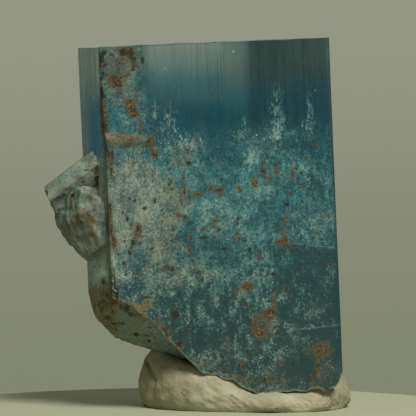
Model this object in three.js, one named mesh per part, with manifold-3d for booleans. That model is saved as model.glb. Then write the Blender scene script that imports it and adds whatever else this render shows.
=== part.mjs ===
// A natural aquamarine crystal that stands in a pressed lump of display putty.
//
// Millimetres, +Z up. The crystal's broad front face looks along -Y and its side crystal is on the -X side. The
// origin is on the putty's flat underside, below the middle of the whole object's box.
//
// The crystal is one solid: a beryl prism, a blade grown parallel to it down its front left corner, a small
// crystal that lies across its left side and the knob of broken growth below that. The prism is snapped off at its
// lower end, so it can't stand by itself. The putty is a second solid, with a socket the shape of the crystal's foot.

import * as THREE from "three";
import { mergeVertices } from "three/addons/utils/BufferGeometryUtils.js";
import Module from "manifold-3d";

const wasm = await Module();
wasm.setup();

// ---- Driving dimensions ----

const LEAN = THREE.MathUtils.degToRad(2.4); // how far the prism's long axis leans to the left of upright
const SOCKET_GAP = 0.3; // clearance between the crystal and the putty pressed round it

// The main prism. Its six faces meet at 120 degrees, so four lengths settle the section.
const PRISM = {
  front: 22.5, // width of the broad front face
  rightFront: 0.8, // the sliver of a face on its right
  leftFront: 4.7, // the narrow face on its left
  depth: 14.8, // from the front face to the back one
  frontLeft: [-8.4, -8.25], // the upright edge where the front face starts
  top: 36.9, // height of the flat end
};

// The blade, a smaller prism a little proud of the front left corner.
const BLADE = {
  front: 4.7,
  rightFront: 0.7,
  leftFront: 3.4,
  depth: 4.0,
  frontLeft: [-8.35, -8.6], // the same edge of the blade, at its top
  top: 28.5,
  length: 27.0,
  leanOut: THREE.MathUtils.degToRad(1.2), // it stands prouder towards its lower end
  turn: THREE.MathUtils.degToRad(-4.0), // about its long axis, so that its right side sinks into the prism
};

// The small crystal across the left side, a six-sided bar with an edge to the front and an oblique broken end.
const SIDE_CRYSTAL = {
  across: 1.65, // from its axis to an edge
  root: [-6.5, -5.2, 26.9], // the buried end of its axis
  towards: [-0.82, -0.1, -0.56],
  length: 12.0,
  end: { at: [-14.06, -6.2, 21.6], facing: [-0.93, -0.08, -0.36] },
};

// The knob below it, an irregular lump.
const KNOB = {
  middle: [-10.6, -5.4, 19.4],
  radii: [2.9, 3.0, 3.6],
  roughness: 0.05,
};

// The break at the lower end: each plane passes through a point and cuts away what lies on the side it faces.
const BREAKS = [
  { at: [7.5, -8.25, 1.5], facing: [0.055, 0.07, -1] }, // the sole that the crystal stands on
  { at: [-9.4, -3.0, 8.7], facing: [-1.65, 0.19, -1] }, // the lower left corner
  { at: [-10.5, -3.0, 11.7], facing: [-3.7, 0.4, -1] },
  { at: [13.84, -7.8, 1.95], facing: [0.35, -0.1, -1] }, // the chipped lower right corner
  { at: [14.2, -7.8, 2.6], facing: [2.9, -0.3, -1] },
];
// The two slopes from the sole up to the left cut only below the underside, and the glassy face under the front
// face's edge cuts only below the steep step at its right end.
const SLOPES = [
  { at: [0.25, -8.25, 4.7], facing: [-0.62, 0.03, -1] },
  { at: [4.65, -8.25, 2.22], facing: [-0.46, 0.03, -1] },
];
const UNDERSIDE = { at: [-6.7, -3.0, 6.6], facing: [-0.3, 0.1, -1] };
const GLASSY_FACE = { at: [-5.2, -8.6, 10.0], facing: [-0.5, -0.72, -1] };
const STEEP_STEP = { at: [-3.13, -8.45, 7.84], facing: [-1.15, -0.1, -1] };
const FAR = 80; // side of the block that each plane cuts away

// The putty: a long lump with rounded sides and a flat underside. It is pressed up against the crystal's underside
// at its left end and bulges up past the crystal's corner at its right end.
const PUTTY = {
  middle: [4.7, -1.3],
  halfLength: 10.65,
  halfDepth: 8.0,
  squareness: 2.5, // 2 would be an ellipse
  turn: THREE.MathUtils.degToRad(-10), // of its long axis, which brings its right end forward
  rim: 1.8, // height of its top at the crystal's lowest point
  leftRise: 2.6, // how much higher the top is at the left end, and where it climbs
  leftRiseAt: 2.9,
  heap: 1.6, // height of the heap under the left underside, and where it stands
  heapAt: [-3.6, -1.5],
  heapSpread: [3.0, 4.5],
  rightRise: 0.3, // how much higher it is at the right end, and where it climbs
  rightRiseAt: 9.0,
  bulge: 0.9, // height of the bulge at the right end, and where it stands
  bulgeAt: 14.5,
  steps: 64, // round the outline
};

// Rings of the lump from the underside to the top: how far each is drawn in from the outline, as a share of the
// half depth, and its height as a share of the top's.
const PUTTY_PROFILE = [
  [0.1, 0],
  [0.03, 0.14],
  [0, 0.42],
  [0.025, 0.74],
  [0.09, 0.94],
  [0.2, 1.0],
  [0.4, 1.0],
  [0.7, 1.0],
];

// ---- Solids ----

function solidOf(geometry) {
  const bare = geometry.clone();
  bare.deleteAttribute("normal");
  bare.deleteAttribute("uv");
  const merged = mergeVertices(bare, 1e-4);
  return new wasm.Manifold(
    new wasm.Mesh({
      numProp: 3,
      vertProperties: new Float32Array(merged.attributes.position.array),
      triVerts: new Uint32Array(merged.index.array),
    }),
  );
}

function geometryOf(solid) {
  const mesh = solid.getMesh();
  const geometry = new THREE.BufferGeometry();
  geometry.setAttribute("position", new THREE.BufferAttribute(new Float32Array(mesh.vertProperties), 3));
  geometry.setIndex(new THREE.BufferAttribute(new Uint32Array(mesh.triVerts), 1));
  geometry.computeVertexNormals();
  return geometry;
}

// The outline of a prism with 120 degree corners, walked anticlockwise from its front left corner. The widths of
// the three faces in front and the depth settle the other three. Growing it moves every face out by that amount.
function prismOutline({ front, rightFront, leftFront, depth }, [x, y], grow) {
  const rightBack = depth / Math.sin(Math.PI / 3) - rightFront;
  const back = front - rightBack + leftFront;
  const leftBack = rightFront + front - back;
  const spread = (2 * grow) / Math.tan(Math.PI / 3);
  const corner = [x - spread / 2, y - grow];
  const outline = new THREE.Shape().moveTo(...corner);
  [front, rightFront, rightBack, back, leftBack].forEach((side, i) => {
    corner[0] += (side + spread) * Math.cos((i * Math.PI) / 3);
    corner[1] += (side + spread) * Math.sin((i * Math.PI) / 3);
    outline.lineTo(...corner);
  });
  return outline.closePath();
}

// A geometry turned so that its own Z points along a direction, then moved to a point.
function aimed(geometry, direction, at) {
  const turn = new THREE.Quaternion().setFromUnitVectors(
    new THREE.Vector3(0, 0, 1),
    new THREE.Vector3(...direction).normalize(),
  );
  return geometry.applyQuaternion(turn).translate(...at);
}

// All that lies on the side that a plane faces.
function beyond({ at, facing }, grow) {
  const block = new THREE.BoxGeometry(FAR, FAR, FAR).translate(0, 0, FAR / 2 + grow);
  return solidOf(aimed(block, facing, at));
}

function mainPrism(grow) {
  const outline = prismOutline(PRISM, PRISM.frontLeft, grow);
  return solidOf(new THREE.ExtrudeGeometry(outline, { depth: PRISM.top, bevelEnabled: false }));
}

function blade(grow) {
  const outline = prismOutline(BLADE, [0, 0], grow);
  const bar = new THREE.ExtrudeGeometry(outline, { depth: BLADE.length + grow, bevelEnabled: false })
    .translate(0, 0, -BLADE.length)
    .rotateZ(BLADE.turn)
    .rotateX(-BLADE.leanOut)
    .translate(...BLADE.frontLeft, BLADE.top);
  return solidOf(bar);
}

function sideCrystal(grow) {
  const { across, root, towards, length, end } = SIDE_CRYSTAL;
  const bar = new THREE.CylinderGeometry(across + grow, across + grow, length, 6)
    .rotateX(Math.PI / 2)
    .translate(0, 0, length / 2);
  return solidOf(aimed(bar, towards, root)).subtract(beyond(end, grow));
}

function knob(grow) {
  const { middle, radii, roughness } = KNOB;
  const lump = new THREE.IcosahedronGeometry(1, 3);
  const points = lump.attributes.position;
  for (let i = 0; i < points.count; i++) {
    const [x, y, z] = [points.getX(i), points.getY(i), points.getZ(i)];
    const swell = 1 + roughness * (Math.sin(4 * x + 2 * z) + Math.cos(5 * z - 3 * y));
    points.setXYZ(i, x * swell, y * swell, z * swell);
  }
  return solidOf(lump.scale(...radii.map((r) => r + grow)).translate(...middle));
}

// All that the break took away.
function brokenOff(grow) {
  const slopes = SLOPES.map((plane) => beyond(plane, grow)).reduce((one, other) => one.add(other));
  const leftEnd = slopes.intersect(beyond(UNDERSIDE, grow));
  const chip = beyond(GLASSY_FACE, grow).intersect(beyond(STEEP_STEP, grow));
  return BREAKS.reduce((gone, plane) => gone.add(beyond(plane, grow)), leftEnd.add(chip));
}

// The whole crystal, upright, or the same shape with every face moved out, which cuts the socket.
function crystalSolid(grow) {
  const stem = mainPrism(grow).add(blade(grow)).subtract(brokenOff(grow));
  return stem.add(sideCrystal(grow)).add(knob(grow));
}

// Closed rings of points joined into a skin, with a point that closes each end.
function skinOf(rings, low, high) {
  const count = rings[0].length;
  const points = [...rings.flat(), low, high];
  const [lowAt, highAt] = [points.length - 2, points.length - 1];
  const topRing = (rings.length - 1) * count;
  const faces = [];
  for (let i = 0; i < count; i++) {
    const next = (i + 1) % count;
    faces.push(lowAt, next, i);
    for (let r = 0; r < topRing; r += count) {
      faces.push(r + i, r + next, r + count + next);
      faces.push(r + i, r + count + next, r + count + i);
    }
    faces.push(topRing + i, topRing + next, highAt);
  }
  const geometry = new THREE.BufferGeometry();
  geometry.setAttribute("position", new THREE.Float32BufferAttribute(points.flat(), 3));
  geometry.setIndex(faces);
  return geometry;
}

// Height of the putty's top above a place on its underside.
function puttyTop(x, y) {
  const { rim, leftRise, leftRiseAt, rightRise, rightRiseAt, heap, heapAt, heapSpread, bulge, bulgeAt } = PUTTY;
  const leftClimb = (leftRise / 2) * (1 - Math.tanh((x - leftRiseAt) / 2.3));
  const climb = leftClimb + (rightRise / 2) * (1 + Math.tanh((x - rightRiseAt) / 2.0));
  const fromHeap = Math.hypot((x - heapAt[0]) / heapSpread[0], (y - heapAt[1]) / heapSpread[1]);
  return rim + climb + heap * Math.exp(-(fromHeap ** 2)) + bulge * Math.exp(-((x - bulgeAt) ** 2));
}

// The lump of putty before the crystal is pressed in. Its outline is a superellipse.
function puttyLump() {
  const { middle, halfLength, halfDepth, squareness, turn, steps } = PUTTY;
  const rings = PUTTY_PROFILE.map(([drawnIn, share]) =>
    Array.from({ length: steps }, (_, i) => {
      const angle = (2 * Math.PI * i) / steps;
      const powers = Math.abs(Math.cos(angle)) ** squareness + Math.abs(Math.sin(angle)) ** squareness;
      const reach = powers ** (-1 / squareness);
      const along = (halfLength - drawnIn * halfDepth) * reach * Math.cos(angle);
      const across = (1 - drawnIn) * halfDepth * reach * Math.sin(angle);
      const x = middle[0] + along * Math.cos(turn) - across * Math.sin(turn);
      const y = middle[1] + along * Math.sin(turn) + across * Math.cos(turn);
      return [x, y, share * puttyTop(x, y)];
    }),
  );
  return solidOf(skinOf(rings, [...middle, 0], [...middle, puttyTop(...middle)]));
}

// ---- The object ----

const crystal = new THREE.Mesh(
  geometryOf(crystalSolid(0)).rotateY(-LEAN),
  new THREE.MeshStandardMaterial({ color: 0x3d7f8c, roughness: 0.3, transparent: true, opacity: 0.8 }),
);
crystal.name = "crystal";

const socket = solidOf(geometryOf(crystalSolid(SOCKET_GAP)).rotateY(-LEAN));
const putty = new THREE.Mesh(
  geometryOf(puttyLump().subtract(socket)),
  new THREE.MeshStandardMaterial({ color: 0xb9b296, roughness: 0.75, metalness: 0 }),
);
putty.name = "putty";

const specimen = new THREE.Group();
specimen.add(crystal, putty);

const box = new THREE.Box3().setFromObject(specimen, true);
const middle = box.getCenter(new THREE.Vector3());
specimen.position.set(-middle.x, -middle.y, -box.min.z);

export default specimen;
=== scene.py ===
import math

import bpy
import numpy as np
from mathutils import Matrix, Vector


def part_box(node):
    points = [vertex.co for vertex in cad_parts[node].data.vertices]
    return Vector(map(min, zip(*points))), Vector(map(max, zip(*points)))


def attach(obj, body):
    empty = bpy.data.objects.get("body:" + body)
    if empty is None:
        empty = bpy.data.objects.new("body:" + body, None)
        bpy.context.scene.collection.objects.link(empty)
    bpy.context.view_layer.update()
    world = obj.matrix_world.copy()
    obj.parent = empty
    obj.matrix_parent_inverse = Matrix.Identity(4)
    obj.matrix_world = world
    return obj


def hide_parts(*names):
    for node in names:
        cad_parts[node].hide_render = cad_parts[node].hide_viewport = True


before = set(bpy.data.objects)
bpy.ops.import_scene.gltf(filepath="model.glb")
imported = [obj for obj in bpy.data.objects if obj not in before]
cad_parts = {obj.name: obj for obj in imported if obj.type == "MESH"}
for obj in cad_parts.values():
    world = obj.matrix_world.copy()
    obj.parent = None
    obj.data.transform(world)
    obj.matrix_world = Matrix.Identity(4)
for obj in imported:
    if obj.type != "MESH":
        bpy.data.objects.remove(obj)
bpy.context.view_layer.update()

# ---- The main prism ----
# The aquamarine: one beryl crystal that grew as a six-sided prism with a flat end and was snapped off below
# with a shell-like break. Growth left long low ridges down its faces, and a thin blade of the same crystal
# stands proud of its front left edge.

MM = 0.001
GRAIN = 0.2  # mm, between neighbouring points of the crystal's skin
LEAN = math.radians(2.4)
FRONT, RIGHT_FRONT, LEFT_FRONT, DEPTH = 22.5, 0.8, 4.7, 14.8
RIGHT_BACK = DEPTH / math.sin(math.pi / 3) - RIGHT_FRONT
BACK = FRONT - RIGHT_BACK + LEFT_FRONT
LEFT_BACK = RIGHT_FRONT + FRONT - BACK
PRISM_WIDTHS = [FRONT, RIGHT_FRONT, RIGHT_BACK, BACK, LEFT_BACK, LEFT_FRONT]
FRONT_LEFT = np.array([-8.4, -8.25])
PRISM_MIDDLE = np.array([1.5, -1.2])
PRISM_TOP = 36.9
SIDE_LEVEL = 16.0  # mm, above all of the break: the rows of points are level from here up
PRISM_ROWS = (60, 105, 45, 24)  # of points: below that level, above it, over each end
SHARP_CRYSTAL = math.radians(24)  # edges that turn more than this are shown sharp

# Planes of the break, each by a point on it and its slopes along x and y.
SOLE = ((7.5, -8.25, 1.5), (0.055, 0.07))
LOW_SLOPE = ((4.65, -8.25, 2.22), (-0.46, 0.03))
HIGH_SLOPE = ((0.25, -8.25, 4.7), (-0.62, 0.03))
UNDERSIDE = ((-6.7, -3.0, 6.6), (-0.3, 0.1))
GLASSY_FACE = ((-5.2, -8.6, 10.0), (-0.5, -0.72))
STEEP_STEP = ((-3.13, -8.45, 7.84), (-1.15, -0.1))
LEFT_CORNERS = [((-9.4, -3.0, 8.7), (-1.65, 0.19)), ((-10.5, -3.0, 11.7), (-3.7, 0.4))]
RIGHT_CORNERS = [((13.84, -7.8, 1.95), (0.35, -0.1)), ((14.2, -7.8, 2.6), (2.9, -0.3))]

BLADE_TOP = 28.2
BLADE_WIDTH = 5.2
CHIP_TOP = 14.9  # of the long chip that follows the front left edge down to the break


def ripple(points, wavelength, seed, waves=22):
    """A smooth random function of place with a spread of 1: the sum of plane waves with random headings and
    phases, whose lengths are 0.7 to 1.4 times the wavelength."""
    draw = np.random.default_rng(seed)
    heading = draw.normal(size=(waves, points.shape[-1]))
    heading /= np.linalg.norm(heading, axis=1, keepdims=True)
    pitch = 2 * math.pi / (wavelength * draw.uniform(0.7, 1.4, waves))
    phase = draw.uniform(0, 2 * math.pi, waves)
    return np.sin(points @ (heading * pitch[:, None]).T + phase).sum(-1) / math.sqrt(waves / 2)


def bell(value, middle, half_width):
    """1 at the middle and falling off on both sides as e^-((value - middle) / half_width)^2."""
    return np.exp(-(((value - middle) / half_width) ** 2))


def ease(value, start, end):
    """0 up to start, 1 from end on and a smooth rise, 3t^2 - 2t^3, between them."""
    t = np.clip((value - start) / (end - start), 0, 1)
    return t * t * (3 - 2 * t)


def mesh_piece(name, points, faces):
    """A new object in the scene, from its points and faces."""
    mesh = bpy.data.meshes.new(name)
    mesh.from_pydata(points.tolist(), [], faces)
    piece = bpy.data.objects.new(name, mesh)
    bpy.context.scene.collection.objects.link(piece)
    return piece


def skin(name, rings, low_pole, high_pole):
    """A closed mesh through rings of points that climb: quads join each ring to the next, and a fan of
    triangles joins the first and last ring to a pole."""
    climb, round_ = rings.shape[:2]
    here = np.arange(climb * round_).reshape(climb, round_)
    right = np.roll(here, -1, axis=1)
    quads = np.stack([here[:-1], right[:-1], right[1:], here[1:]], -1).reshape(-1, 4)
    low, high = climb * round_, climb * round_ + 1
    under = np.stack([right[0], here[0], np.full(round_, low)], -1)
    over = np.stack([here[-1], right[-1], np.full(round_, high)], -1)
    points = np.vstack([rings.reshape(-1, 3), low_pole, high_pole])
    return mesh_piece(name, points, quads.tolist() + under.tolist() + over.tolist())


def prism_rings(widths, first_corner, middle, low, high, level, relief, rows):
    """Rings of points over a six-sided prism with 120 degree corners, and its two poles. Side k heads 60k
    degrees and is moved out by relief(k, run, z). The ends are the surfaces z = low(xy) and z = high(xy),
    met by rings that shrink to the middle. Side rows are level above the height level and lean to meet the
    low end below it."""
    counts = [max(2, round(width / GRAIN)) for width in widths]
    side = np.repeat(np.arange(6), counts)
    run = np.concatenate([width * np.arange(count) / count for width, count in zip(widths, counts)])
    turn = np.arange(6) * math.pi / 3
    heading = np.stack([np.cos(turn), np.sin(turn)], -1)
    outward = np.stack([np.sin(turn), -np.cos(turn)], -1)
    starts = first_corner + np.vstack([[0, 0], np.cumsum(np.array(widths)[:, None] * heading, axis=0)[:-1]])
    section = starts[side] + run[:, None] * heading[side]
    low_rows, level_rows, low_cap, high_cap = rows

    def moved(z):
        own = relief(side, run, z)
        xy = section + own[..., None] * outward[side]
        corner = np.flatnonzero(run == 0)
        k, before = side[corner], (side[corner] - 1) % 6
        grown = own[:, corner, None]
        other = relief(before, np.array(widths)[before], z[:, corner])[..., None]
        pull = (grown - other / 2) * outward[k] + (other - grown / 2) * outward[before]
        xy[:, corner] = section[corner] + pull * 4 / 3
        return xy

    foot = low(moved(low(section)[None])[0])
    head = high(moved(high(section)[None])[0])
    climb = np.linspace(0, 1, low_rows, endpoint=False)[:, None]
    further = np.linspace(0, 1, level_rows)[:, None]
    z = np.vstack([foot + climb * (level - foot), level + further * (head - level)])
    xy = moved(z)
    sides = np.dstack([xy, z])
    shrink = np.linspace(0, 1, low_cap, endpoint=False)[1:, None, None]
    low_xy = middle + shrink * (xy[0] - middle)
    shrink = np.linspace(1, 0, high_cap, endpoint=False)[1:, None, None]
    high_xy = middle + shrink * (xy[-1] - middle)
    rings = np.vstack([np.dstack([low_xy, low(low_xy)]), sides, np.dstack([high_xy, high(high_xy)])])
    poles = [[*middle, end(middle[None])[0]] for end in (low, high)]
    return rings, poles


def height_on(plane, xy):
    """Height of a plane above a place."""
    (x, y, z), (slope_x, slope_y) = plane
    return z + slope_x * (xy[..., 0] - x) + slope_y * (xy[..., 1] - y)


def higher(one, other, blend=0.12):
    """The higher of two heights, rounded over the blend where they cross: max + blend log(1 + e^(-gap /
    blend))."""
    return np.maximum(one, other) + blend * np.log1p(np.exp(-np.abs(one - other) / blend))


def lower(one, other):
    """The lower of two heights, rounded in the same way."""
    return -higher(-one, -other)


def break_height(xy):
    """Height of the broken end. The sole, the slopes under the left end and the glassy face under the front
    edge meet as the highest of them, each cut off by the lower one of its own pair, with shallow
    ripples."""
    slopes = lower(higher(height_on(LOW_SLOPE, xy), height_on(HIGH_SLOPE, xy)), height_on(UNDERSIDE, xy))
    chip = lower(height_on(GLASSY_FACE, xy), height_on(STEEP_STEP, xy))
    height = higher(higher(height_on(SOLE, xy), slopes), chip)
    for plane in LEFT_CORNERS + RIGHT_CORNERS:
        height = higher(height, height_on(plane, xy))
    return height + 0.09 * ripple(xy, 2.6, 11) + 0.045 * ripple(xy, 0.9, 12)


def flat_end(xy):
    """Height of the grown end: level, with growth mounds a few hundredths of a millimetre high and a few
    nicks."""
    nicks = 0.08 * ease(ripple(xy, 1.1, 14), 1.7, 2.4)
    return PRISM_TOP - 0.05 + 0.02 * ripple(xy, 4.0, 13) - nicks


def growth(side, run, z):
    """How far each face of the prism stands out: long ridges beside the grown edges, and the blade on the
    front face, which stands prouder towards its lower end and sinks into the face towards its right. The
    front left edge has a rough chip along its lower part, deepest on the left of it."""
    run = np.broadcast_to(run, z.shape)
    side = np.broadcast_to(side, z.shape)
    place = np.stack([run + 40 * side, z / 14], -1)
    depth = np.where((side > 0) & (side < 5), 0.4, 1.0)
    fine_ridges = 0.018 * np.tanh(2 * ripple(place, 1.5, 22))
    ridges = depth * (0.035 * np.tanh(2 * ripple(place, 4.5, 21)) + fine_ridges)
    top = BLADE_TOP + 0.25 * ripple(run[..., None], 2.2, 23)
    proud = (0.3 + 0.04 * (BLADE_TOP - z)) * (1 - 0.8 * run / BLADE_WIDTH)
    blade = proud * ease(-z, -top, 0.95 - top) * ease(-run, -BLADE_WIDTH, 0.3 - BLADE_WIDTH)
    from_edge = np.where(side == 5, LEFT_FRONT - run, np.where(side == 0, 4 * run, 99))
    reach = 3.3 - 0.35 * ease(z, 10, 15) * (z - 10) + 0.25 * ripple(z[..., None], 1.6, 24)
    torn = ease(reach - from_edge, 0, 0.5) * ease(-z, -CHIP_TOP, 1.2 - CHIP_TOP)
    chip = torn * (0.42 + 0.1 * ripple(np.stack([from_edge, z], -1), 0.8, 25))
    return ridges + np.where(side == 0, blade, 0) - chip


prism_shape, prism_poles = prism_rings(
    PRISM_WIDTHS, FRONT_LEFT, PRISM_MIDDLE, break_height, flat_end, SIDE_LEVEL, growth, PRISM_ROWS
)
upright_to_leaning = np.array(
    [[math.cos(LEAN), 0, -math.sin(LEAN)], [0, 1, 0], [math.sin(LEAN), 0, math.cos(LEAN)]]
)
leaning = prism_shape.reshape(-1, 3) @ upright_to_leaning.T
# Millimetres that put the prism where the frame has it.
CRYSTAL_PLACE = np.array(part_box("crystal")[1]) / MM - leaning.max(0)


def to_frame(points):
    """From the crystal's upright millimetres to the frame's metres, leaning."""
    return (np.asarray(points) @ upright_to_leaning.T + CRYSTAL_PLACE) * MM


prism = skin("aquamarine_crystal", to_frame(prism_shape), *to_frame(prism_poles))

# ---- The side crystal ----
# A small beryl that lies across the left side of the big one and grew into it. It is a six-sided bar with an
# edge to the front, and its free end is an oblique break.

SIDE_WIDTH = 1.65
BAR_LEVEL = 4.0  # mm along the bar, where its rows of points turn from leaning to level
BAR_ROWS = (12, 40, 3, 9)
SIDE_ROOT = np.array([-6.5, -5.2, 26.9])
SIDE_END = np.array([-14.06, -6.2, 21.6])
SIDE_END_FACING = np.array([-0.93, -0.08, -0.36])
along = np.array([-0.82, -0.1, -0.56])
along /= np.linalg.norm(along)
forward = np.array([0, -1, 0]) + along[1] * along
forward /= np.linalg.norm(forward)
side_axes = np.stack([forward, np.cross(along, forward), along])


def side_growth(side, run, z):
    """Ridges along the bar's faces."""
    place = np.stack([np.broadcast_to(run + 40 * side, z.shape), z / 6], -1)
    return 0.05 * np.tanh(2 * ripple(place, 1.1, 31))


def side_end(xy):
    """Distance along the bar of its oblique broken end."""
    start = SIDE_END - SIDE_ROOT
    reach = (start @ SIDE_END_FACING - xy @ (side_axes[:2] @ SIDE_END_FACING)) / (along @ SIDE_END_FACING)
    return reach + 0.07 * ripple(xy, 1.0, 32)


side_shape, side_poles = prism_rings(
    [SIDE_WIDTH] * 6,
    np.array([-SIDE_WIDTH / 2, -SIDE_WIDTH * math.sin(math.pi / 3)]),
    np.zeros(2),
    lambda xy: np.zeros(xy.shape[:-1]),
    side_end,
    BAR_LEVEL,
    side_growth,
    BAR_ROWS,
)
side_points = to_frame(side_shape @ side_axes + SIDE_ROOT)
side_bar = skin("side_crystal", side_points, *to_frame(np.array(side_poles) @ side_axes + SIDE_ROOT))

# ---- The knob ----
# Broken, intergrown beryl below the side crystal, where both meet the prism: a blocky lump with worn
# corners.

KNOB_MIDDLE = np.array([-10.4, -5.4, 19.6])
KNOB_RADII = np.array([2.85, 2.9, 3.7])
KNOB_SLANT = 0.16  # mm to the right for each mm down


def lump_rings(facets, sharpness, columns, rows, seed):
    """Rings over a rounded polyhedron of about unit size, and its poles: along direction d the radius is
    the p-norm over all facets n of max(n.d, 0), to the power -1, where p is the sharpness."""
    draw = np.random.default_rng(seed)
    normals = draw.normal(size=(facets, 3))
    for _ in range(30):
        apart = normals[:, None] - normals
        gap = (apart**2).sum(-1, keepdims=True) + 1e-3
        normals += 0.03 * (apart / gap**1.5).sum(1)
        normals /= np.linalg.norm(normals, axis=1, keepdims=True)
    polar = np.linspace(-math.pi / 2, math.pi / 2, rows + 2)
    around = np.linspace(0, 2 * math.pi, columns, endpoint=False)
    flat = np.cos(polar)[:, None]
    heading = np.stack(
        np.broadcast_arrays(flat * np.cos(around), flat * np.sin(around), np.sin(polar)[:, None]), -1
    )
    radius = (np.maximum(heading @ normals.T, 0) ** sharpness).sum(-1) ** (-1 / sharpness)
    relief = 1 + 0.025 * ripple(heading, 0.5, seed + 1) + 0.012 * ripple(heading, 0.2, seed + 2)
    points = heading * (radius * relief)[..., None]
    return points[1:-1], [points[0, 0], points[-1, 0]]


knob_shape, knob_poles = lump_rings(facets=15, sharpness=34, columns=200, rows=120, seed=44)


def knob_place(points):
    """The lump at its size and place: it slants to the right as it goes down."""
    sized = np.asarray(points) * KNOB_RADII
    return to_frame(sized - sized[..., 2:] * np.array([KNOB_SLANT, 0, 0]) + KNOB_MIDDLE)


knob = skin("knob", knob_place(knob_shape), *knob_place(knob_poles))


def boolean(piece, operation, other):
    """The piece joined to, or cut by, another, as a plain mesh with no material. The other is used up."""
    step = piece.modifiers.new("join", "BOOLEAN")
    step.solver = "MANIFOLD"
    step.operation = operation
    step.object = other
    mesh = bpy.data.meshes.new_from_object(piece.evaluated_get(bpy.context.evaluated_depsgraph_get()))
    piece.modifiers.remove(step)
    mesh.materials.clear()
    piece.data = mesh
    bpy.data.objects.remove(other)


boolean(prism, "UNION", side_bar)
boolean(prism, "UNION", knob)
prism.data.set_sharp_from_angle(angle=SHARP_CRYSTAL)

# ---- The crystal's weathered skin ----
# Etching and healed damage leave the crystal milky, and iron from the rock stained it in spots and streaks.
# Each mark is its middle across and up, its half widths that way, and its strength; a ring has a second mark
# of negative strength inside it.

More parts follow.
